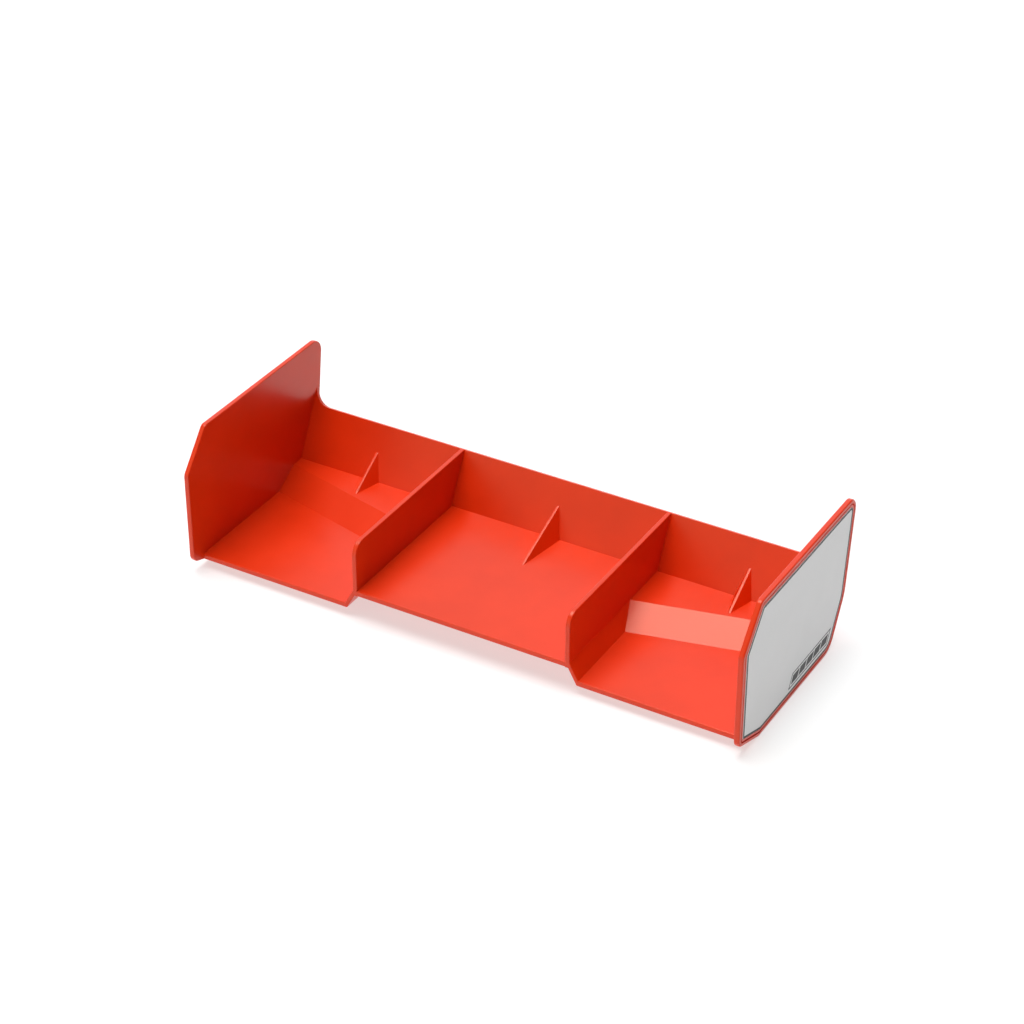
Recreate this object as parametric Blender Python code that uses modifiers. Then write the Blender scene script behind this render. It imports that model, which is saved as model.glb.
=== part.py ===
"""Moulded rear wing for a 1/8 scale radio-controlled off-road buggy.

The wing is a tray between two upright endplates. A leaning wall closes its rear, two
dividers split it into three bays, and the outer bays are dropped at the front and climb
a skewed ramp to the level of the centre bay. Every wall of the moulding is an object of
its own, a small gap away from its neighbours. Each endplate carries a separate side panel.

The leading edge faces -Y, the rear wall faces +Y, +Z is up, and left is -X, as seen from
in front. The origin is at the middle of the underside of the bounding box, where the
endplates stand. Distances called y below run back from the front edge of the endplates,
and distances called z run up from their bottom edge.
"""

import math

import bmesh
import bpy
from mathutils import Matrix, Vector

MM = 0.001
GAP = 0.3 * MM  # clearance between neighbouring solids

# Overall size
WIDTH = 214.6 * MM
HEIGHT = 55.1 * MM

# Skin thicknesses
WALL_T = 1.7 * MM  # dividers and rear wall
ENDPLATE_T = 2.0 * MM
FLOOR_T = 2.0 * MM  # floors, ramps and shelves, measured vertically
SKIRT_T = 1.5 * MM

# Levels and stations
CENTRE_TOP = 11.7 * MM  # top of the centre floor and the rear shelves
OUTER_TOP = 5.5 * MM  # top of the two dropped floors
FLOOR_FRONT = 5.3 * MM  # leading edge of every floor and divider

# Rear wall
WALL_BASE = 68.0 * MM  # its front face at the level of the centre floor
WALL_TOP = 30.4 * MM
WALL_LEAN = math.radians(26.4)  # backwards from upright
WEB_RADIUS = 7.0 * MM  # fillet web from the wall's top up the endplate
WEB_TIP = 0.3 * MM  # its two ends are blunt
WEB_STEPS = 8
WALL_OVERRUN = 5.0 * MM  # how far a floor starts out past the wall that trims it

# Dividers and the skirts below them
DIVIDER_X = 41.5 * MM  # mid-plane
DIVIDER_NOSE_R = 5.0 * MM
SKIRT_FOOT_X = 45.7 * MM  # where the skirt's outer face meets the dropped floor

# Ramps
RAMP_CREST = 48.0 * MM  # rear edge of the ramp where it meets the divider
RAMP_RUN = 10.7 * MM
RAMP_SKEW = math.tan(math.radians(13.7))  # its edges run further back towards the endplate

# Gussets between the floor and the rear wall
GUSSET_RIDGE = 0.9 * MM
CENTRE_GUSSET = {"x": 0.0, "foot": 48.7 * MM, "height": 10.1 * MM, "flare": 3.4 * MM}
SIDE_GUSSET = {"x": 75.0 * MM, "foot": 58.2 * MM, "height": 9.1 * MM, "flare": 3.1 * MM}

# Endplate outline, clockwise from the top front corner: (y, z, corner radius)
ENDPLATE_OUTLINE = [
    (11.8 * MM, HEIGHT, 2.5 * MM),
    (84.6 * MM, HEIGHT, 5.0 * MM),
    (79.8 * MM, 18.0 * MM, 14.0 * MM),
    (70.2 * MM, 0.0, 8.0 * MM),
    (15.1 * MM, 0.0, 3.0 * MM),
    (0.0, 5.1 * MM, 3.5 * MM),
    (0.0, 40.5 * MM, 3.5 * MM),
]
RIM = 2.95 * MM  # border of the endplate left around the side panel
PANEL_T = 0.5 * MM
POCKET_DEPTH = PANEL_T + GAP
PANEL_LEAST_R = 0.5 * MM  # corner radius where the border is wider than the outer radius

EDGE_BEVEL = 0.3 * MM
BEVEL_FROM = math.radians(40)  # edges flatter than this stay as they are
ARC_STEP = math.radians(9)
REACH = 20 * MM  # how far a cutter runs past what it cuts
WELD = 0.005 * MM

SIDES = (("left", -1), ("right", 1))

# Materials: name, colour, roughness
MOULDING_RED = ("moulded_nylon_red", (0.71, 0.03, 0.002, 1), 0.3)
PANEL_GREY = ("panel_grey", (0.72, 0.72, 0.72, 1), 0.45)

# Axes of an outline's own X, Y and Z in the world
PROFILE_YZ = Matrix(((0, 0, 1), (1, 0, 0), (0, 1, 0))).to_4x4()
SECTION_XZ = Matrix(((1, 0, 0), (0, 0, -1), (0, 1, 0))).to_4x4()


def clear_scene():
    for obj in list(bpy.data.objects):
        bpy.data.objects.remove(obj, do_unlink=True)


def new_collection(name):
    collection = bpy.data.collections.new(name)
    bpy.context.scene.collection.children.link(collection)
    return collection


def make_material(name, color, roughness):
    material = bpy.data.materials.new(name)
    material.use_nodes = True
    shader = material.node_tree.nodes["Principled BSDF"]
    shader.inputs["Base Color"].default_value = color
    shader.inputs["Roughness"].default_value = roughness
    shader.inputs["Metallic"].default_value = 0.0
    return material


def station(y):
    """World Y of a distance behind the front edge of the endplates."""
    return y - endplate_length() / 2


def wall_front(z):
    """World Y of the rear wall's front face at height z."""
    return station(WALL_BASE) + (z - CENTRE_TOP) * math.tan(WALL_LEAN)


def divider_outer():
    return DIVIDER_X + WALL_T / 2


def skirt_lean():
    """The skirt's angle from upright."""
    return math.atan2(SKIRT_FOOT_X - divider_outer(), CENTRE_TOP - OUTER_TOP)


def skirt_face(z):
    """Distance from the middle of the wing to the skirt's outer face at height z."""
    return divider_outer() + (CENTRE_TOP - z) * math.tan(skirt_lean())


def crest(x):
    """World Y of the ramp's rear edge at a distance x from the middle of the wing."""
    return station(RAMP_CREST) + (x - divider_outer()) * RAMP_SKEW


def valley(x):
    return crest(x) - RAMP_RUN


def endplate_inner():
    return WIDTH / 2 - ENDPLATE_T


def round_corners(corners):
    """Points of a closed outline whose corners (a, b, radius) become arcs."""
    points = []
    for i, (a, b, radius) in enumerate(corners):
        here = Vector((a, b))
        before = (Vector(corners[i - 1][:2]) - here).normalized()
        after = (Vector(corners[(i + 1) % len(corners)][:2]) - here).normalized()
        if not radius:
            points.append(here)
            continue
        half = before.angle(after) / 2
        centre = here + (before + after).normalized() * radius / math.sin(half)
        start = here + before * radius / math.tan(half) - centre
        turn = before.angle_signed(after)
        sweep = (math.pi - 2 * half) * (1 if turn > 0 else -1)
        steps = max(2, math.ceil(abs(sweep) / ARC_STEP))
        for k in range(steps + 1):
            points.append(centre + Matrix.Rotation(sweep * k / steps, 2) @ start)
    return points


def endplate_length():
    """From the front edge to the rearmost point of the rounded top rear corner."""
    return max(point.x for point in round_corners(ENDPLATE_OUTLINE))


def inset(corners, distance):
    """The outline moved inwards by distance, with its corner radii cut by as much."""
    middle = sum((Vector(c[:2]) for c in corners), Vector((0, 0))) / len(corners)
    lines = []
    for i, corner in enumerate(corners):
        start = Vector(corner[:2])
        along = (Vector(corners[(i + 1) % len(corners)][:2]) - start).normalized()
        inward = Vector((-along.y, along.x))
        if inward.dot(middle - start) < 0:
            inward.negate()
        lines.append((start + inward * distance, along))
    result = []
    for i, corner in enumerate(corners):
        (p, d), (q, e) = lines[i - 1], lines[i]
        reach = (q - p).cross(e) / d.cross(e)
        meet = p + d * reach
        result.append((meet.x, meet.y, max(PANEL_LEAST_R, corner[2] - distance)))
    return result


def extrude_outline(name, points, depth, placement):
    """A mesh object: the closed outline in the XY plane of placement, depth thick."""
    curve = bpy.data.curves.new(name, "CURVE")
    curve.dimensions = "2D"
    curve.fill_mode = "BOTH"
    curve.extrude = depth / 2
    spline = curve.splines.new("POLY")
    spline.points.add(len(points) - 1)
    for point, place in zip(spline.points, points):
        point.co = (place[0], place[1], 0, 1)
    spline.use_cyclic_u = True
    flat = bpy.data.objects.new(name + "_outline", curve)
    bpy.context.scene.collection.objects.link(flat)
    bpy.context.view_layer.update()
    graph = bpy.context.evaluated_depsgraph_get()
    mesh = bpy.data.meshes.new_from_object(flat.evaluated_get(graph))
    bpy.data.objects.remove(flat)
    bpy.data.curves.remove(curve)
    shape = bmesh.new()
    shape.from_mesh(mesh)
    bmesh.ops.remove_doubles(shape, verts=shape.verts, dist=WELD)
    bmesh.ops.recalc_face_normals(shape, faces=shape.faces)
    shape.to_mesh(mesh)
    shape.free()
    mesh.name = name
    mesh.materials.clear()
    solid = bpy.data.objects.new(name, mesh)
    solid.matrix_world = placement
    return solid


def keep(obj, collection, material):
    obj.data.materials.append(material)
    collection.objects.link(obj)
    return obj


def as_cutter(obj, collection):
    obj.hide_render = True
    obj.display_type = "WIRE"
    collection.objects.link(obj)
    return obj


def cut(obj, *cutters):
    for cutter in cutters:
        boolean = obj.modifiers.new("cut_" + cutter.name, "BOOLEAN")
        boolean.operation = "DIFFERENCE"
        boolean.solver = "EXACT"
        boolean.object = cutter


def soften(obj):
    bevel = obj.modifiers.new("edge", "BEVEL")
    bevel.width = EDGE_BEVEL
    bevel.segments = 1
    bevel.limit_method = "ANGLE"
    bevel.angle_limit = BEVEL_FROM


def wall_cutter(collection):
    """Everything behind a plane that lies one gap in front of the rear wall."""
    low, high = -REACH, HEIGHT + REACH
    shift = GAP / math.cos(WALL_LEAN)
    far = wall_front(high) + REACH
    points = [
        (wall_front(low) - shift, low),
        (wall_front(high) - shift, high),
        (far, high),
        (far, low),
    ]
    cutter = extrude_outline("wall_space", points, WIDTH + REACH, PROFILE_YZ)
    return as_cutter(cutter, collection)


def skirt_cutter(collection, side, sign):
    """Everything on the inner side of a plane one gap outside the skirt's outer face."""
    shift = GAP / math.cos(skirt_lean())
    points = [
        (0, -REACH),
        (sign * (skirt_face(-REACH) + shift), -REACH),
        (sign * (divider_outer() + shift), CENTRE_TOP),
        (sign * (divider_outer() + shift), HEIGHT),
        (0, HEIGHT),
    ]
    cutter = extrude_outline(side + "_skirt_space", points, WIDTH, SECTION_XZ)
    return as_cutter(cutter, collection)


def shear_along_x(obj, sign):
    """Slides the solid back with distance from the middle, as the ramp's edges run."""
    shear = Matrix.Identity(4)
    shear[1][0] = sign * RAMP_SKEW
    obj.data.transform(shear @ obj.matrix_world)
    obj.matrix_world = Matrix.Identity(4)


def below_ramp_cutter(collection, side, sign):
    """The space under the ramp, up to its underside."""
    front, rear = valley(0), crest(0)
    points = [
        (front, -REACH),
        (front, OUTER_TOP - FLOOR_T),
        (rear, CENTRE_TOP - FLOOR_T),
        (rear + REACH, CENTRE_TOP - FLOOR_T),
        (rear + REACH, -REACH),
    ]
    cutter = extrude_outline(side + "_ramp_space", points, WIDTH, PROFILE_YZ)
    shear_along_x(cutter, sign)
    return as_cutter(cutter, collection)


def endplate(side, sign, parts, cutters, material):
    middle = (WIDTH - ENDPLATE_T) / 2
    corners = [(station(y), z, radius) for y, z, radius in ENDPLATE_OUTLINE]
    placement = Matrix.Translation((sign * middle, 0, 0)) @ PROFILE_YZ
    outline = round_corners(corners)
    plate = extrude_outline(side + "_endplate", outline, ENDPLATE_T, placement)
    pocket = extrude_outline(
        side + "_pocket",
        round_corners(inset(corners, RIM - GAP)),
        2 * POCKET_DEPTH,
        Matrix.Translation((sign * WIDTH / 2, 0, 0)) @ PROFILE_YZ,
    )
    keep(plate, parts, material)
    cut(plate, as_cutter(pocket, cutters))
    soften(plate)


def side_panel(side, sign, parts, material):
    corners = [(station(y), z, radius) for y, z, radius in ENDPLATE_OUTLINE]
    outline = round_corners(inset(corners, RIM))
    placement = Matrix.Translation((sign * (WIDTH - PANEL_T) / 2, 0, 0)) @ PROFILE_YZ
    panel = extrude_outline(side + "_side_panel", outline, PANEL_T, placement)
    keep(panel, parts, material)


def rear_wall(parts, material):
    height = (WALL_TOP - CENTRE_TOP + FLOOR_T) / math.cos(WALL_LEAN)
    up = Vector((math.sin(WALL_LEAN), math.cos(WALL_LEAN)))
    back = Vector((math.cos(WALL_LEAN), -math.sin(WALL_LEAN))) * WALL_T
    foot = Vector((wall_front(CENTRE_TOP - FLOOR_T), CENTRE_TOP - FLOOR_T))
    heel = foot + Vector((WALL_T / math.cos(WALL_LEAN), 0))
    points = [foot, foot + up * height, foot + up * height + back, heel]
    width = 2 * (endplate_inner() - GAP)
    keep(extrude_outline("rear_wall", points, width, PROFILE_YZ), parts, material)


def corner_web(side, sign, parts, material):
    """The fillet in the plane of the rear wall, where its top runs up the endplate."""
    outer = endplate_inner() - GAP
    points = [(outer, GAP), (outer - WEB_RADIUS - WEB_TIP, GAP)]
    for k in range(WEB_STEPS + 1):
        angle = math.pi / 2 * k / WEB_STEPS
        reach = WEB_RADIUS * (1 - math.sin(angle)) + WEB_TIP
        rise = WEB_RADIUS * (1 - math.cos(angle)) + WEB_TIP
        points.append((outer - reach, GAP + rise))
    points.append((outer, GAP + WEB_RADIUS + WEB_TIP))
    lean = Matrix.Rotation(math.pi / 2 - WALL_LEAN, 4, "X")
    foot = Matrix.Translation((0, wall_front(WALL_TOP), WALL_TOP))
    inwards = Matrix.Translation((0, 0, -WALL_T / 2))
    web = extrude_outline(
        side + "_corner_web",
        [(sign * x, y) for x, y in points],
        WALL_T,
        foot @ lean @ inwards,
    )
    keep(web, parts, material)


def floor_plate(name, points, top, parts, material, *cutters):
    placement = Matrix.Translation((0, 0, top - FLOOR_T / 2))
    plate = keep(extrude_outline(name, points, FLOOR_T, placement), parts, material)
    cut(plate, *cutters)
    return plate


def centre_floor(parts, material, wall_space):
    half = DIVIDER_X - WALL_T / 2 - GAP
    front, rear = station(FLOOR_FRONT), station(WALL_BASE) + WALL_OVERRUN
    points = [(-half, front), (half, front), (half, rear), (-half, rear)]
    floor_plate("center_floor", points, CENTRE_TOP, parts, material, wall_space)


def outer_floor(side, sign, parts, material, skirt_space):
    inner, outer = DIVIDER_X, endplate_inner() - GAP
    front = station(FLOOR_FRONT)
    points = [
        (sign * inner, front),
        (sign * outer, front),
        (sign * outer, valley(outer) - GAP / 2),
        (sign * inner, valley(inner) - GAP / 2),
    ]
    floor_plate(side + "_floor", points, OUTER_TOP, parts, material, skirt_space)


def ramp(side, sign, parts, material, skirt_space):
    """A sloping plate with upright ends, skewed in plan."""
    inner, outer = DIVIDER_X, endplate_inner() - GAP
    front, rear = valley(0) + GAP / 2, crest(0) - GAP / 2
    points = [
        (front, OUTER_TOP - FLOOR_T),
        (front, OUTER_TOP),
        (rear, CENTRE_TOP),
        (rear, CENTRE_TOP - FLOOR_T),
    ]
    middle = Matrix.Translation((sign * (inner + outer) / 2, 0, 0))
    plate = extrude_outline(side + "_ramp", points, outer - inner, middle @ PROFILE_YZ)
    shear_along_x(plate, sign)
    keep(plate, parts, material)
    cut(plate, skirt_space)


def rear_shelf(side, sign, parts, material, wall_space):
    inner, outer = divider_outer() + GAP, endplate_inner() - GAP
    rear = station(WALL_BASE) + WALL_OVERRUN
    points = [
        (sign * inner, crest(inner) + GAP / 2),
        (sign * outer, crest(outer) + GAP / 2),
        (sign * outer, rear),
        (sign * inner, rear),
    ]
    floor_plate(side + "_rear_shelf", points, CENTRE_TOP, parts, material, wall_space)


def divider(side, sign, parts, material, wall_space):
    front, rear = station(FLOOR_FRONT), wall_front(WALL_TOP)
    low = CENTRE_TOP - FLOOR_T
    corners = [
        (front, low, 0),
        (front, WALL_TOP, DIVIDER_NOSE_R),
        (rear, WALL_TOP, 0),
        (rear, low, 0),
    ]
    placement = Matrix.Translation((sign * DIVIDER_X, 0, 0)) @ PROFILE_YZ
    plate = extrude_outline(side + "_divider", round_corners(corners), WALL_T, placement)
    keep(plate, parts, material)
    cut(plate, wall_space)
    soften(plate)


def skirt(side, sign, parts, material, ramp_space):
    """The sloping side that drops from under the divider to the outer floor."""
    thickness_in_x = SKIRT_T / math.cos(skirt_lean())
    bottom = OUTER_TOP - FLOOR_T
    ledge = CENTRE_TOP - FLOOR_T - GAP  # just below the divider
    inner_edge = divider_outer() + GAP
    top = CENTRE_TOP - GAP / math.tan(skirt_lean())
    points = [
        (skirt_face(bottom), bottom),
        (inner_edge, top),
        (inner_edge, ledge),
        (skirt_face(ledge) - thickness_in_x, ledge),
        (skirt_face(bottom) - thickness_in_x, bottom),
    ]
    front, rear = station(FLOOR_FRONT), crest(inner_edge) - GAP / 2
    plate = extrude_outline(
        side + "_skirt",
        [(sign * x, z) for x, z in points],
        rear - front,
        Matrix.Translation((0, (front + rear) / 2, 0)) @ SECTION_XZ,
    )
    keep(plate, parts, material)
    cut(plate, ramp_space)


def gusset(name, x, foot, height, flare, parts, material):
    """A fin with a narrow ridge whose sides flare towards the floor and the wall."""
    floor = CENTRE_TOP + GAP
    shift = GAP / math.cos(WALL_LEAN)
    tip = CENTRE_TOP + height
    half_ridge = GUSSET_RIDGE / 2
    shape = bmesh.new()
    for sign in (-1, 1):
        shape.verts.new((x + sign * half_ridge, station(foot), floor))
        shape.verts.new((x + sign * flare, wall_front(floor) - shift, floor))
        shape.verts.new((x + sign * half_ridge, wall_front(tip) - shift, tip))
    bmesh.ops.convex_hull(shape, input=shape.verts)
    bmesh.ops.recalc_face_normals(shape, faces=shape.faces)
    mesh = bpy.data.meshes.new(name)
    shape.to_mesh(mesh)
    shape.free()
    keep(bpy.data.objects.new(name, mesh), parts, material)


def build():
    clear_scene()
    parts = new_collection("rear_wing")
    cutters = new_collection("cutters")
    red = make_material(*MOULDING_RED)
    grey = make_material(*PANEL_GREY)
    wall_space = wall_cutter(cutters)

    rear_wall(parts, red)
    centre_floor(parts, red, wall_space)
    gusset("center_gusset", parts=parts, material=red, **CENTRE_GUSSET)

    for side, sign in SIDES:
        skirt_space = skirt_cutter(cutters, side, sign)
        ramp_space = below_ramp_cutter(cutters, side, sign)
        endplate(side, sign, parts, cutters, red)
        side_panel(side, sign, parts, grey)
        corner_web(side, sign, parts, red)
        divider(side, sign, parts, red, wall_space)
        skirt(side, sign, parts, red, ramp_space)
        outer_floor(side, sign, parts, red, skirt_space)
        ramp(side, sign, parts, red, skirt_space)
        rear_shelf(side, sign, parts, red, wall_space)
        place = dict(SIDE_GUSSET, x=sign * SIDE_GUSSET["x"])
        gusset(side + "_gusset", parts=parts, material=red, **place)


build()
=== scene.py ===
"""The looks of a moulded rear wing for a 1/8 scale radio-controlled buggy.

The wing is one nylon moulding with a thin grey panel let into the outside of each
endplate. Every wall of the moulding is a piece of its own here, as it is in the frame. It
grows across the frame's clearance until it touches its neighbours, so that the inner
corners are crisp, and its free edges are rounded as a mould leaves them.

The leading edge faces -Y, +Z is up and left is -X, as seen from in front.
"""

import math

import bmesh
import bpy
import numpy as np
from mathutils import Matrix, Vector
from mathutils.bvhtree import BVHTree
from mathutils.geometry import convex_hull_2d


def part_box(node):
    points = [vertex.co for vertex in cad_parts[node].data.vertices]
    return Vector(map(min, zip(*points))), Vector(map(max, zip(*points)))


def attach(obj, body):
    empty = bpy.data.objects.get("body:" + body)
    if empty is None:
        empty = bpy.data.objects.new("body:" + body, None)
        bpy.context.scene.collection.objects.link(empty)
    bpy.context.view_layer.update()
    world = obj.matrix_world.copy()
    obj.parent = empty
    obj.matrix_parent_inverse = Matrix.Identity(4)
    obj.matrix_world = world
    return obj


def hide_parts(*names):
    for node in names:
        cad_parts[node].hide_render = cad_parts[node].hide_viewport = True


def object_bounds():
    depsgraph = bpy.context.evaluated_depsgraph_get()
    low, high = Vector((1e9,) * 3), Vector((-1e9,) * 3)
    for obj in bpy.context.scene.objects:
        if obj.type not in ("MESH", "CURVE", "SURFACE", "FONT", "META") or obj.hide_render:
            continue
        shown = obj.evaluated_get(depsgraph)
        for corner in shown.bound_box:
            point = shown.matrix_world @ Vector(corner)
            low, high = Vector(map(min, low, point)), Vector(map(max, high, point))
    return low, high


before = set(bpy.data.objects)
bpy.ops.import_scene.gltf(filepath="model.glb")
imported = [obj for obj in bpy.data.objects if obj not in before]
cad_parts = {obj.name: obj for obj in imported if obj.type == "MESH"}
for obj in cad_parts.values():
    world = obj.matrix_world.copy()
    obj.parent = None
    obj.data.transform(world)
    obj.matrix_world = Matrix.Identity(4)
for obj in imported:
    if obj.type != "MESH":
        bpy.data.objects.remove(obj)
cad_low, cad_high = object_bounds()

MM = 0.001

# How the walls of the moulding close on each other
CLOSE_REACH = 0.9 * MM  # a face this near to the neighbour it meets grows onto it
NEAR = 0.45 * MM  # an edge this near to a neighbour is an inner corner
EDGE_R = 0.35 * MM  # rounding of a free edge
RIDGE_R = 0.12 * MM  # on the narrow ridges of the gussets
EDGE_STEPS = 4
ROUND_FROM = math.radians(25)  # edges flatter than this stay as they are
ARC_STEP = math.radians(5)
STRAIGHT = 4 * MM  # an outline's edges longer than this lie between two corners
LEAST_R = 0.02 * MM
CHAMFER = 0.35 * MM  # a little more than the frame's own chamfers
SAME_PLANE = 0.02  # planes that differ by less than this count as one
FLAT = math.radians(1)  # faces that meet at less than this are one flat side
WELD = 0.01 * MM
FACE_SPOTS = (0.5, 0.9)  # where a face is probed, from its middle to each corner
EDGE_SPOTS = (0.25, 0.5, 0.75)  # where an edge is probed, along its length
WEB_R = 7.0 * MM

# Endplates, with depths measured from the outer face
INNER_R = 0.3 * MM
OUTER_R = 0.6 * MM
OUTER_STEPS = EDGE_STEPS + 2
GROOVE_AT = 1.3 * MM  # the fine line that runs round the rim
GROOVE_W = 0.6 * MM
GROOVE_SIDE = GROOVE_W / 4  # how far each of its sides slopes
GROOVE_DEPTH = 0.55 * MM
LEDGE_DEPTH = 0.08 * MM  # the rim is this much lower inside the groove
PANEL_FIT = 0.05 * MM  # what stays open between the panel and its pocket

# Side panels
PANEL_R = 0.12 * MM
PANEL_STEPS = EDGE_STEPS - 1
# width of the band of painted shade round the sheet's edge, standing for the shadowed gap to
# the pocket
BORDER_W = 0.8 * MM
PRINT_T = 0.03 * MM  # printed film, proud of the sheet
MARK_LENGTH = 30.0 * MM  # a frame of slanted bars, low on the panel near its rear
MARK_HEIGHT = 5.2 * MM
MARK_UP = 1.8 * MM  # above the panel's bottom edge
MARK_AHEAD = 14.3 * MM  # from the panel's rearmost point to the frame's lower rear corner
MARK_LEAN = 0.53  # run back per unit of height
MARK_LINE = 0.4 * MM
MARK_BARS = 5
BAR_GAP = 0.75 * MM
END_WIDTH = math.hypot(1, MARK_LEAN)  # a line's width along Y at the slanted ends
SMOOTH_PLATE = math.radians(27)
SMOOTH_PANEL = math.radians(35)

SIDES = (("left", -1), ("right", 1))
SUFFIX = "_moulded"

# Materials, with the noise scales in repeats per metre
NYLON_DARK, NYLON_LIGHT = (0.68, 0.027, 0.001), (0.74, 0.032, 0.002)
NYLON_MOTTLE = 60
NYLON_MOTTLE_DETAIL = 3
NYLON_MOTTLE_RANGE = (0.3, 0.7)
NYLON_ROUGHNESS = (0.26, 0.34)
NYLON_IOR = 1.5
NYLON_GLOSS_TINT = (1.0, 0.9, 0.72)
GRAIN = 6000
GRAIN_HEIGHT = 0.01 * MM
GRAIN_STRENGTH = 0.25
SHEET_DARK, SHEET_LIGHT = (0.74, 0.74, 0.74), (0.78, 0.78, 0.78)
SHEET_MOTTLE = 90
SHEET_ROUGHNESS = 0.45
# Dark ink of the printed mark, also used for the band of painted shade round the edge of
# each panel's sheet
INK_AND_SHADE_DARK, INK_AND_SHADE_LIGHT = (0.026, 0.026, 0.025), (0.038, 0.038, 0.036)
INK_AND_SHADE_MOTTLE = 400
INK_AND_SHADE_ROUGHNESS = 0.5

# Camera
CAMERA_AZIMUTH = math.radians(30.13)
CAMERA_ELEVATION = math.radians(32.85)
CAMERA_DISTANCE = 0.9417
CAMERA_LENS = 97.08
CAMERA_SENSOR = 36
CAMERA_NEAREST = 0.01
AIM_OFFSET = Vector((-1.7, 1.8, 7.7)) * MM  # from the middle of the frame's box

# Stage, in metres
FLOOR_SIZE = 10
FLOOR_DROP = 0.02 * MM  # keeps the floor clear of the feet
FLOOR_GREY = (0.45, 0.45, 0.45)
FLOOR_ROUGHNESS = 0.9
FLOOR_GLOW = 0.56  # lightens the shadow
DOME_RADIUS = 8
DOME_DETAIL = 4
SKY = 0.12
LIGHTS = (  # name, direction towards it, width in degrees, radiance, colour
    ("overhead", (-0.12, -0.05, 1.0), 42, 7.5, (1, 1, 1)),
    ("backdrop", (-0.42, 0.73, 0.54), 70, 1.0, (0.92, 0.95, 1.0)),
    ("front_left", (-0.42, -0.87, 0.25), 60, 0.95, (1.0, 0.85, 0.62)),
)


# ---------------------------------------------------------------- solids from the frame


def solid_of(node):
    """The CAD node as a bmesh with one face for each flat side."""
    shape = bmesh.new()
    shape.from_mesh(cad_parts[node].data)
    bmesh.ops.remove_doubles(shape, verts=shape.verts, dist=WELD)
    bmesh.ops.dissolve_limit(
        shape, angle_limit=FLAT, verts=shape.verts, edges=shape.edges
    )
    return shape


def tree_of(node):
    shape = solid_of(node)
    bmesh.ops.triangulate(shape, faces=shape.faces)
    tree = BVHTree.FromBMesh(shape)
    shape.free()
    return tree


TREES = {node: tree_of(node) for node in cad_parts}


def outer_face(node, sign):
    """Where along X a node of this side of the wing ends outwards."""
    low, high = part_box(node)
    return high.x if sign > 0 else low.x


def width_of(node):
    low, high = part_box(node)
    return high.x - low.x


def quarter_turn(steps):
    return [math.pi / 2 * k / steps for k in range(steps + 1)]


def corners_of(node, least_reach=0.0):
    """The corners (y, z, radius) of the outline that a flat node has, seen from the side.

    A corner that is cut back by no more than least_reach counts as a sharp one.
    """
    places = [vert.co.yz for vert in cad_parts[node].data.vertices]
    hull = [places[i] for i in convex_hull_2d(places)]
    runs = []
    for start, end in zip(hull, hull[1:] + hull[:1]):
        if (end - start).length > STRAIGHT:
            runs.append((start, end))
    corners = []
    for (start, before), (after, far) in zip(runs[-1:] + runs[:-1], runs):
        into = (before - start).normalized()
        out = (far - after).normalized()
        turn = into.angle(out)
        gap = after - before
        reach = gap.cross(out) / into.cross(out)
        corner = before + into * reach
        radius = reach / math.tan(turn / 2) if reach > least_reach else 0.0
        corners.append((corner.x, corner.y, radius))
    return corners


def inset(corners, distance):
    """The convex outline moved inwards by distance, its corner radii cut by as much."""
    moved = []
    count = len(corners)
    for i in range(count):
        here = Vector(corners[i][:2])
        into = (here - Vector(corners[i - 1][:2])).normalized()
        out = (Vector(corners[(i + 1) % count][:2]) - here).normalized()
        side = 1 if into.cross(out) > 0 else -1
        first = Vector((-into.y, into.x)) * side
        second = Vector((-out.y, out.x)) * side
        shift = (first + second) * distance / (1 + first.dot(second))
        radius = corners[i][2] and max(corners[i][2] - distance, LEAST_R)
        moved.append((here.x + shift.x, here.y + shift.y, radius))
    return moved


def round_corners(corners):
    """Points of the outline, with as many to a corner whatever its radius."""
    points = []
    count = len(corners)
    for i, (a, b, radius) in enumerate(corners):
        here = Vector((a, b))
        into = (here - Vector(corners[i - 1][:2])).normalized()
        out = (Vector(corners[(i + 1) % count][:2]) - here).normalized()
        turn = into.angle(out)
        steps = math.ceil(turn / ARC_STEP) if radius else 0
        start = here - into * radius * math.tan(turn / 2)
        side = 1 if into.cross(out) > 0 else -1
        centre = start + Vector((-into.y, into.x)) * side * radius
        for k in range(steps + 1):
            angle = side * turn * k / max(steps, 1)
            points.append(centre + Matrix.Rotation(angle, 2) @ (start - centre))
    return points


def join_rows(shape, one, two):
    for i in range(len(one)):
        shape.faces.new((one[i - 1], one[i], two[i], two[i - 1]))


def add_solid(shape, rings):
    """A surface through a row of rings, each with as many points, closed at both ends."""
    rows = [[shape.verts.new(p) for p in ring] for ring in rings]
    shape.faces.new(rows[0])
    shape.faces.new(reversed(rows[-1]))
    for one, two in zip(rows, rows[1:]):
        join_rows(shape, one, two)


def add_loop(shape, rings):
    """A closed frame: the surface through the rings, with the last joined to the first."""
    rows = [[shape.verts.new(p) for p in ring] for ring in rings]
    for one, two in zip(rows, rows[1:] + rows[:1]):
        join_rows(shape, one, two)


def stack(rings):
    shape = bmesh.new()
    add_solid(shape, rings)
    bmesh.ops.recalc_face_normals(shape, faces=shape.faces)
    return shape


def slice_at(shape, point, normal):
    """Adds the edges where a plane meets the solid, so that a rounding can stop there."""
    everything = shape.verts[:] + shape.edges[:] + shape.faces[:]
    bmesh.ops.bisect_plane(shape, geom=everything, plane_co=point, plane_no=normal)


def distance_ahead(face, trees):
    """From the face to the neighbours in front of it, or 0 where most of it is free."""
    middle = face.calc_center_median()
    spots = [middle]
    for vert in face.verts:
        spots += [middle.lerp(vert.co, share) for share in FACE_SPOTS]
    found = []
    for spot in spots:
        hits = [tree.ray_cast(spot, face.normal, CLOSE_REACH)[3] for tree in trees]
        hits = [hit for hit in hits if hit is not None]
        if hits:
            found.append(min(hits))
    if len(found) < len(spots) / 2:
        return 0.0
    return sorted(found)[len(found) // 2]


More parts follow.
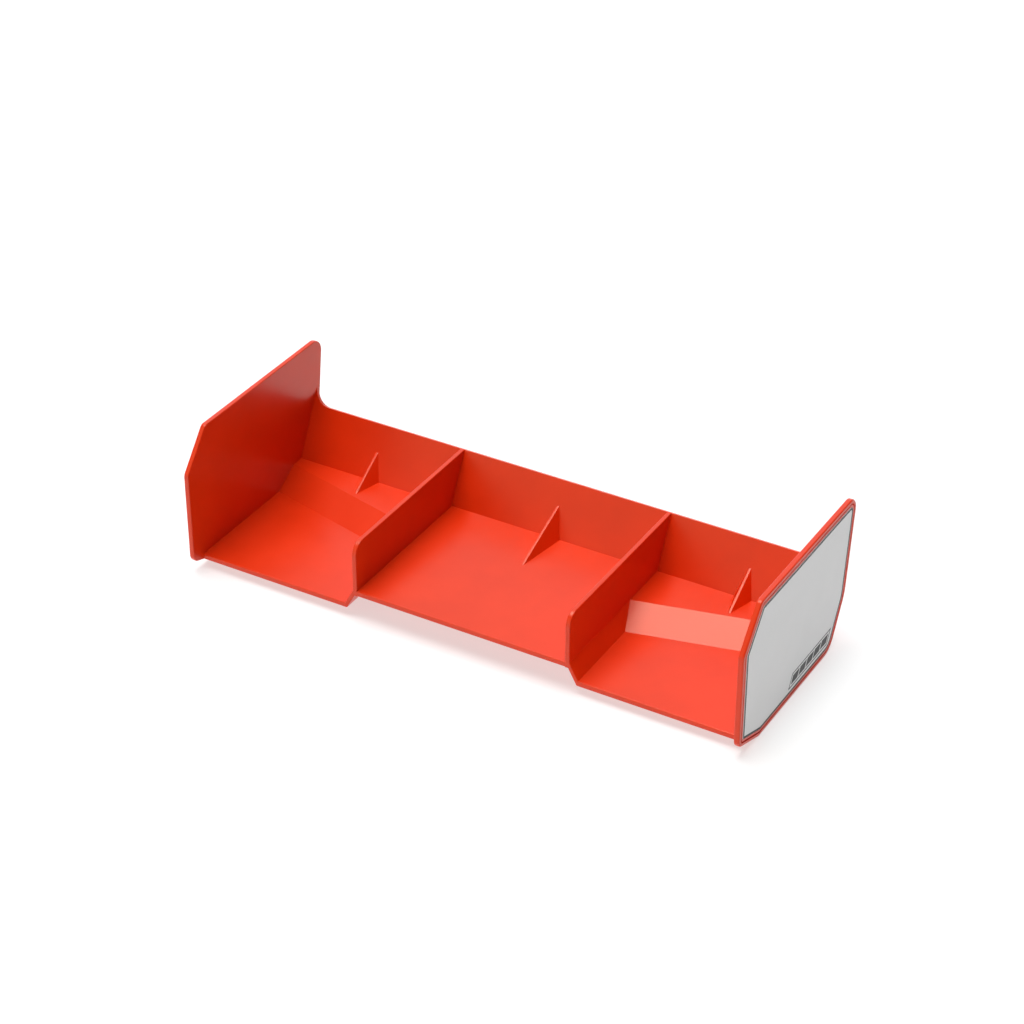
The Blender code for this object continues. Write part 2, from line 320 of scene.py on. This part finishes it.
def grow(shape, neighbours):
    """Moves the faces that look onto a neighbour across the clearance until they touch it.

    Returns those faces. Each vertex goes to where its moved and unmoved faces meet.
    """
    shape.normal_update()
    trees = [TREES[node] for node in neighbours]
    shifts = {face: distance_ahead(face, trees) for face in shape.faces}
    moves = []
    for vert in shape.verts:
        planes = np.array([face.normal for face in vert.link_faces])
        wanted = np.array([shifts[face] for face in vert.link_faces])
        move = Vector(np.linalg.lstsq(planes, wanted, rcond=SAME_PLANE)[0])
        if move.length < CLOSE_REACH:
            moves.append((vert, move))
    for vert, move in moves:
        vert.co += move
    shape.normal_update()
    return {face for face in shape.faces if shifts[face]}


def round_free_edges(shape, closed, own_nodes):
    """Marks the outer edges that no neighbour touches, for the Bevel modifier."""
    others = [tree for node, tree in TREES.items() if node not in own_nodes]
    weight = shape.edges.layers.float.new("bevel_weight_edge")
    for face in shape.faces:
        face.smooth = True
    for edge in shape.edges:
        angle = edge.calc_face_angle_signed(0)
        edge.smooth = abs(angle) < ROUND_FROM
        if angle < ROUND_FROM or any(face in closed for face in edge.link_faces):
            continue
        start, end = (vert.co for vert in edge.verts)
        near = False
        for share in EDGE_SPOTS:
            spot = start.lerp(end, share)
            near = near or any(tree.find_nearest(spot, NEAR)[0] for tree in others)
        if not near:
            edge[weight] = 1.0
            edge.smooth = True


def piece(name, shape, material, nodes=(), radius=0.0):
    """The shape as a finished piece that rides on the wing and stands for its nodes."""
    mesh = bpy.data.meshes.new(name)
    shape.to_mesh(mesh)
    shape.free()
    mesh.materials.append(material)
    obj = bpy.data.objects.new(name, mesh)
    bpy.context.scene.collection.objects.link(obj)
    if radius:
        bevel = obj.modifiers.new("edge_rounding", "BEVEL")
        bevel.width = radius
        bevel.segments = EDGE_STEPS
        bevel.limit_method = "WEIGHT"
        bevel.harden_normals = True
    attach(obj, "root")
    if nodes:
        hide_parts(*nodes)
    return obj


def moulded(shape, nodes, neighbours, material, radius=EDGE_R):
    """A wall of the moulding: closed onto its neighbours, with its free edges rounded."""
    closed = grow(shape, neighbours)
    round_free_edges(shape, closed, nodes)
    return piece(nodes[0] + SUFFIX, shape, material, nodes, radius)


# ------------------------------------------------------------------------------ pieces


def rear_wall(material):
    """The leaning wall, with a web that runs up to the endplate at each top corner."""
    plain = solid_of("rear_wall")
    faces = sorted(plain.faces, key=lambda face: face.calc_area())
    front = min(faces[-2:], key=lambda face: face.calc_center_median().y)
    back = max(faces[-2:], key=lambda face: face.calc_center_median().y)
    by_height = sorted((vert.co.copy() for vert in front.verts), key=lambda co: co.z)
    foot, top = by_height[0], by_height[-1]
    heel = min((vert.co.copy() for vert in back.verts), key=lambda co: co.z)
    plain.free()
    foot.x = top.x = heel.x = 0
    up = (top - foot).normalized()
    height = (top - foot).length
    across = Vector((1, 0, 0))
    inwards = up.cross(across)
    if inwards.y < 0:
        inwards.negate()
    thickness = (heel - foot).dot(inwards)
    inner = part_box("right_endplate")[0].x

    outline = [(-inner, 0), (inner, 0)]
    for side in (1, -1):
        arc = []
        for angle in quarter_turn(math.ceil(math.pi / 2 / ARC_STEP)):
            x = inner - WEB_R * (1 - math.cos(angle))
            arc.append((side * x, height + WEB_R * (1 - math.sin(angle))))
        outline += arc if side == 1 else reversed(arc)
    places = [foot + across * x + up * v for x, v in outline]
    behind = [place + inwards * thickness for place in places]
    behind[0].z = behind[1].z = foot.z
    behind[0].y = behind[1].y = heel.y
    shape = stack([places, behind])
    nodes = ["rear_wall", "left_corner_web", "right_corner_web"]
    for side in (-1, 1):
        slice_at(shape, Vector((side * (inner - NEAR), 0, 0)), across)
    closed = grow(shape, [])
    round_free_edges(shape, closed, nodes)
    return piece("rear_wall" + SUFFIX, shape, material, nodes, EDGE_R)


def divider(side, material):
    node = side + "_divider"
    low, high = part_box(node)
    outline = round_corners(corners_of(node, CHAMFER))
    shape = stack([[Vector((x, p.x, p.y)) for p in outline] for x in (low.x, high.x)])
    floor_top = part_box("center_floor")[1]
    slice_at(shape, floor_top, Vector((0, 0, 1)))
    moulded(shape, [node], ["rear_wall"], material)


def flat_piece(node, neighbours, material, radius=EDGE_R, levels=()):
    shape = solid_of(node)
    for level in levels:
        slice_at(shape, Vector((0, 0, level)), Vector((0, 0, 1)))
    moulded(shape, [node], neighbours, material, radius)


def pocket_floor(node, sign):
    """How deep the pocket for the side panel is, from the endplate's outer face."""
    low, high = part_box(node)
    start = Vector((outer_face(node, sign) + sign * CLOSE_REACH, 0, (low.z + high.z) / 2))
    return TREES[node].ray_cast(start, Vector((-sign, 0, 0)))[3] - CLOSE_REACH


def side_rings(outer, sign, corners, profile):
    """The outline repeated at each (inset, depth below the outer face) of a profile."""
    rings = []
    for distance, depth in profile:
        points = round_corners(inset(corners, distance))
        rings.append([Vector((outer - sign * depth, p.x, p.y)) for p in points])
    return rings


def endplate(side, sign, material):
    """The plate with its rounded rim, the groove round it and the pocket for the panel."""
    node, panel = side + "_endplate", side + "_side_panel"
    outer = outer_face(node, sign)
    thickness = width_of(node)
    pocket_depth = pocket_floor(node, sign)
    clearance = pocket_depth - width_of(panel)
    rim = []
    for angle in quarter_turn(EDGE_STEPS):
        depth = thickness - INNER_R * (1 - math.cos(angle))
        rim.append((INNER_R * (1 - math.sin(angle)), depth))
    for angle in quarter_turn(OUTER_STEPS):
        rim.append((OUTER_R * (1 - math.cos(angle)), OUTER_R * (1 - math.sin(angle))))
    groove_end = GROOVE_AT + GROOVE_W
    rim += [
        (GROOVE_AT, 0),
        (GROOVE_AT + GROOVE_SIDE, GROOVE_DEPTH),
        (groove_end - GROOVE_SIDE, GROOVE_DEPTH),
        (groove_end, LEDGE_DEPTH),
    ]
    pocket = [(-LEDGE_DEPTH, LEDGE_DEPTH), (0, 2 * LEDGE_DEPTH), (0, pocket_depth)]
    rings = side_rings(outer, sign, corners_of(node), rim)
    rings += side_rings(outer, sign, inset(corners_of(panel), -clearance), pocket)
    shape = stack(rings)
    smooth_below(shape, SMOOTH_PLATE)
    keep_flats_flat(piece(node + SUFFIX, shape, material, [node]))


def side_panel(side, sign, sheet, ink_and_shade):
    """The grey sheet, a dark band of painted shade round its edge for the shadowed gap to
    its pocket, and the mark printed low on it.
    """
    node = side + "_side_panel"
    low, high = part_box(node)
    outer = outer_face(node, sign)
    pocket_depth = pocket_floor(side + "_endplate", sign)
    clearance = pocket_depth - width_of(node)
    corners = inset(corners_of(node), PANEL_FIT - clearance)
    profile = [(0, pocket_depth)]
    for angle in quarter_turn(PANEL_STEPS):
        profile.append((PANEL_R * (1 - math.cos(angle)), PANEL_R * (1 - math.sin(angle))))
    shape = stack(side_rings(outer, sign, corners, profile))
    smooth_below(shape, SMOOTH_PANEL)
    obj = piece(node + "_sheet", shape, sheet, [node])
    keep_flats_flat(obj)

    # Painted shade: a dark band round the sheet's edge, in the mark's ink, stands for the
    # shadow in the gap to the pocket, which the sheet nearly closes
    start, end = PANEL_R, PANEL_R + BORDER_W
    border = bmesh.new()
    profile = [(start, 0), (start, -PRINT_T), (end, -PRINT_T), (end, 0)]
    add_loop(border, side_rings(outer, sign, corners, profile))
    bmesh.ops.recalc_face_normals(border, faces=border.faces)
    piece(node + "_border", border, ink_and_shade)

    mark = bmesh.new()
    rear, foot = high.y - MARK_AHEAD, low.z + MARK_UP
    place = (outer, sign, rear - MARK_LENGTH, rear, foot, MARK_HEIGHT)
    profile = [(0, 0), (0, -PRINT_T), (MARK_LINE, -PRINT_T), (MARK_LINE, 0)]
    add_loop(mark, [slanted(*place, inside, depth) for inside, depth in profile])
    room = MARK_LINE + BAR_GAP
    pitch = (MARK_LENGTH - 2 * room * END_WIDTH + BAR_GAP) / MARK_BARS
    for k in range(MARK_BARS):
        front = rear - MARK_LENGTH + room * END_WIDTH + pitch * k
        place = (outer, sign, front, front + pitch - BAR_GAP, foot, MARK_HEIGHT)
        add_solid(mark, [cut_bar(*place, room, depth) for depth in (0, -PRINT_T)])
    bmesh.ops.recalc_face_normals(mark, faces=mark.faces)
    piece(node + "_mark", mark, ink_and_shade)


def lean_back(outer, sign, foot, corners, depth):
    """Corners (y, z) of an upright shape on the panel, leant back about its foot."""
    x = outer - sign * depth
    return [Vector((x, y + (z - foot) * MARK_LEAN, z)) for y, z in corners]


def slanted(outer, sign, front, rear, foot, height, inside, depth):
    """A parallelogram that leans back, moved inwards by inside."""
    low, high = foot + inside, foot + height - inside
    ahead, behind = front + inside * END_WIDTH, rear - inside * END_WIDTH
    corners = ((ahead, low), (behind, low), (behind, high), (ahead, high))
    return lean_back(outer, sign, foot, corners, depth)


def cut_bar(outer, sign, front, rear, foot, height, room, depth):
    """A slanted bar, short of the frame by room at its ends."""
    low, high = foot + room, foot + height - room
    corners = ((front, low), (rear, low), (rear, high), (front, high))
    return lean_back(outer, sign, foot, corners, depth)


def smooth_below(shape, angle):
    """Smooth faces with sharp edges where the surface turns by more than angle."""
    for face in shape.faces:
        face.smooth = True
    for edge in shape.edges:
        edge.smooth = edge.calc_face_angle(0) < angle


def keep_flats_flat(obj):
    weigh = obj.modifiers.new("flat_faces", "WEIGHTED_NORMAL")
    weigh.keep_sharp = True


# --------------------------------------------------------------------------- materials


def mottled(name, scale, dark, light):
    """A new material whose colour drifts between two shades, and its main nodes."""
    material = bpy.data.materials.new(name)
    material.use_nodes = True
    nodes, links = material.node_tree.nodes, material.node_tree.links
    shader = nodes["Principled BSDF"]
    place = nodes.new("ShaderNodeTexCoord")
    clouds = nodes.new("ShaderNodeTexNoise")
    clouds.inputs["Scale"].default_value = scale
    links.new(place.outputs["Object"], clouds.inputs["Vector"])
    tint = nodes.new("ShaderNodeValToRGB")
    for element, shade in zip(tint.color_ramp.elements, (dark, light)):
        element.color = (*shade, 1)
    links.new(clouds.outputs["Fac"], tint.inputs["Fac"])
    links.new(tint.outputs["Color"], shader.inputs["Base Color"])
    return material, shader, place, clouds, tint


def moulded_nylon():
    """Dyed nylon from a finely eroded mould: satin, with a faint mottle in its gloss."""
    material, shader, place, clouds, tint = mottled(
        "moulded_nylon_red", NYLON_MOTTLE, NYLON_DARK, NYLON_LIGHT
    )
    nodes, links = material.node_tree.nodes, material.node_tree.links
    shader.inputs["IOR"].default_value = NYLON_IOR
    shader.inputs["Specular Tint"].default_value = (*NYLON_GLOSS_TINT, 1)
    clouds.inputs["Detail"].default_value = NYLON_MOTTLE_DETAIL
    for element, position in zip(tint.color_ramp.elements, NYLON_MOTTLE_RANGE):
        element.position = position

    gloss = nodes.new("ShaderNodeMapRange")
    gloss.inputs["To Min"].default_value = NYLON_ROUGHNESS[0]
    gloss.inputs["To Max"].default_value = NYLON_ROUGHNESS[1]
    links.new(clouds.outputs["Fac"], gloss.inputs["Value"])
    links.new(gloss.outputs["Result"], shader.inputs["Roughness"])

    grain = nodes.new("ShaderNodeTexNoise")
    grain.inputs["Scale"].default_value = GRAIN
    links.new(place.outputs["Object"], grain.inputs["Vector"])
    bump = nodes.new("ShaderNodeBump")
    bump.inputs["Strength"].default_value = GRAIN_STRENGTH
    bump.inputs["Distance"].default_value = GRAIN_HEIGHT
    links.new(grain.outputs["Fac"], bump.inputs["Height"])
    links.new(bump.outputs["Normal"], shader.inputs["Normal"])
    return material


def panel_sheet():
    material, shader, *_ = mottled("grey_panel_sheet", SHEET_MOTTLE, SHEET_DARK, SHEET_LIGHT)
    shader.inputs["Roughness"].default_value = SHEET_ROUGHNESS
    return material


# Dark ink for the printed mark and for the band of painted shade round each panel's edge
def ink_and_painted_shade():
    material, shader, *_ = mottled("ink_and_painted_shade", INK_AND_SHADE_MOTTLE, INK_AND_SHADE_DARK, INK_AND_SHADE_LIGHT)
    shader.inputs["Roughness"].default_value = INK_AND_SHADE_ROUGHNESS
    return material


# ------------------------------------------------------------------------------- stage


def camera():
    middle = (cad_low + cad_high) / 2
    azimuth, elevation = CAMERA_AZIMUTH, CAMERA_ELEVATION
    back = Vector(
        (
            math.sin(azimuth) * math.cos(elevation),
            -math.cos(azimuth) * math.cos(elevation),
            math.sin(elevation),
        )
    )
    lens = bpy.data.cameras.new("camera")
    lens.lens = CAMERA_LENS
    lens.sensor_width = CAMERA_SENSOR
    lens.clip_start = CAMERA_NEAREST
    obj = bpy.data.objects.new("camera", lens)
    obj.location = middle + AIM_OFFSET + back * CAMERA_DISTANCE
    obj.rotation_mode = "QUATERNION"
    obj.rotation_quaternion = (-back).to_track_quat("-Z", "Y")
    bpy.context.scene.collection.objects.link(obj)
    bpy.context.scene.camera = obj


def stage_piece(name, shape, material):
    mesh = bpy.data.meshes.new(name)
    shape.to_mesh(mesh)
    shape.free()
    mesh.materials.append(material)
    obj = bpy.data.objects.new(name, mesh)
    bpy.context.scene.collection.objects.link(obj)
    return obj


def floor():
    material = bpy.data.materials.new("studio_floor")
    material.use_nodes = True
    shader = material.node_tree.nodes["Principled BSDF"]
    shader.inputs["Base Color"].default_value = (*FLOOR_GREY, 1)
    shader.inputs["Roughness"].default_value = FLOOR_ROUGHNESS
    shader.inputs["Specular IOR Level"].default_value = 0.0
    shader.inputs["Emission Color"].default_value = (1, 1, 1, 1)
    shader.inputs["Emission Strength"].default_value = FLOOR_GLOW
    shape = bmesh.new()
    bmesh.ops.create_grid(shape, x_segments=1, y_segments=1, size=FLOOR_SIZE)
    stage_piece("studio_floor", shape, material).location.z = cad_low.z - FLOOR_DROP


def backdrop():
    """A white dome that only the camera sees, so that low views have a pale background."""
    material = bpy.data.materials.new("backdrop")
    material.use_nodes = True
    nodes, links = material.node_tree.nodes, material.node_tree.links
    glow = nodes.new("ShaderNodeEmission")
    links.new(glow.outputs["Emission"], nodes["Material Output"].inputs["Surface"])
    shape = bmesh.new()
    bmesh.ops.create_icosphere(shape, subdivisions=DOME_DETAIL, radius=DOME_RADIUS)
    obj = stage_piece("backdrop", shape, material)
    obj.visible_diffuse = False
    obj.visible_glossy = False
    obj.visible_transmission = False
    obj.visible_shadow = False


def softbox(name, towards, spread, radiance, color):
    """A round patch of light, far away, in the direction towards and spread wide."""
    light = bpy.data.lights.new(name, "SUN")
    light.angle = spread
    light.color = color
    light.energy = radiance * math.pi * math.sin(spread / 2) ** 2
    obj = bpy.data.objects.new(name, light)
    obj.rotation_mode = "QUATERNION"
    obj.rotation_quaternion = Vector(towards).to_track_quat("Z", "Y")
    bpy.context.scene.collection.objects.link(obj)


def studio():
    world = bpy.data.worlds.new("studio")
    world.use_nodes = True
    sky = world.node_tree.nodes["Background"]
    sky.inputs["Color"].default_value = (1, 1, 1, 1)
    sky.inputs["Strength"].default_value = SKY
    bpy.context.scene.world = world
    for name, towards, degrees, radiance, color in LIGHTS:
        softbox(name, towards, math.radians(degrees), radiance, color)


def build():
    nylon = moulded_nylon()
    sheet = panel_sheet()
    ink_and_shade = ink_and_painted_shade()
    rear_wall(nylon)
    flat_piece("center_floor", ["left_divider", "right_divider", "rear_wall"], nylon)
    flat_piece("center_gusset", ["center_floor", "rear_wall"], nylon, RIDGE_R)
    outer_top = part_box("left_floor")[1].z
    for side, sign in SIDES:
        plate, web = side + "_endplate", side + "_divider"
        skirt, slope, shelf = side + "_skirt", side + "_ramp", side + "_rear_shelf"
        endplate(side, sign, nylon)
        side_panel(side, sign, sheet, ink_and_shade)
        divider(side, nylon)
        flat_piece(side + "_floor", [plate, skirt, slope], nylon)
        flat_piece(slope, [plate, skirt], nylon)
        flat_piece(shelf, [plate, web, slope, "rear_wall"], nylon)
        flat_piece(skirt, [web, shelf], nylon, EDGE_R, [outer_top])
        flat_piece(side + "_gusset", [shelf, "rear_wall"], nylon, RIDGE_R)


build()
camera()
floor()
backdrop()
studio()
bpy.context.scene.view_settings.view_transform = "Standard"
